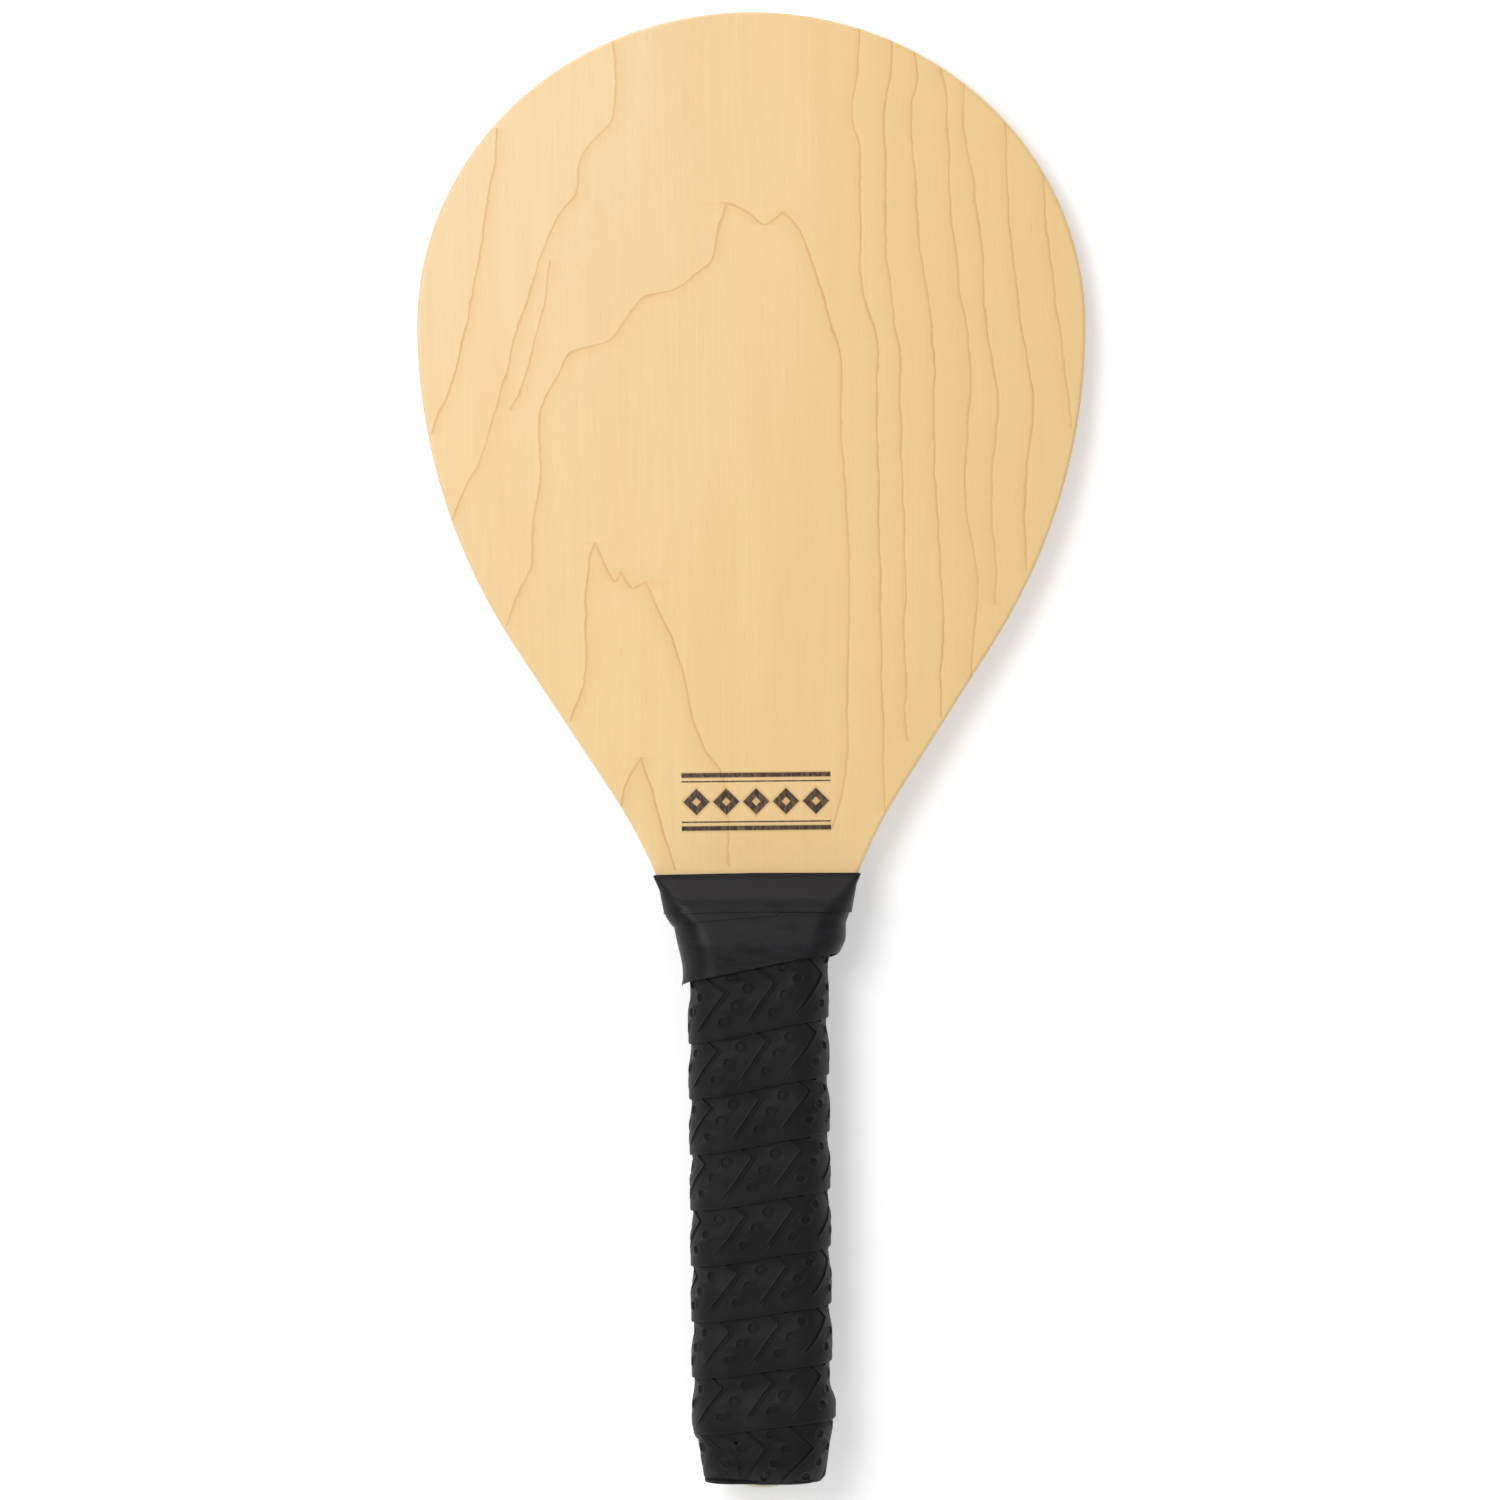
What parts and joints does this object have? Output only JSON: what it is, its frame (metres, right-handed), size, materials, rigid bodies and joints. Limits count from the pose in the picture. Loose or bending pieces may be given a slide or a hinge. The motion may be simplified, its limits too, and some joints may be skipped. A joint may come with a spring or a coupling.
{
  "type": "wooden beach paddle",
  "caption": "Teardrop plywood paddle with a maple face, wooden handle scales, an embossed black overgrip wound in a helix and a taped collar.",
  "frame": {"origin": "bottom centre of the paddle's box: the plane under the grip's back, midway along and across the paddle", "axes": "+Y along the paddle from the handle to the top of the blade, +X across the blade, +Z out of the striking face that shows"},
  "size_m": [0.2014, 0.445, 0.0299],
  "materials": {
    "maple_face": "clear satin lacquer over maple veneer",
    "poplar_core": "lacquered ply edges, pale yellow-green end grain",
    "handle_scale": "plain shaped wood under the grip",
    "overgrip": "matte black synthetic strip embossed with grooves and dimples",
    "finishing_tape": "soft satin black vinyl tape"
  },
  "bodies": {
    "root": {"front_face_veneer": "maple_face", "front_crossband": "poplar_core", "front_core_ply": "poplar_core", "centre_ply": "poplar_core", "back_core_ply": "poplar_core", "back_crossband": "poplar_core", "back_face_veneer": "maple_face", "front_handle_scale": "handle_scale", "back_handle_scale": "handle_scale", "overgrip": "overgrip", "grip_end_tape": "finishing_tape", "collar_tape": "finishing_tape"}
  },
  "joints": []
}
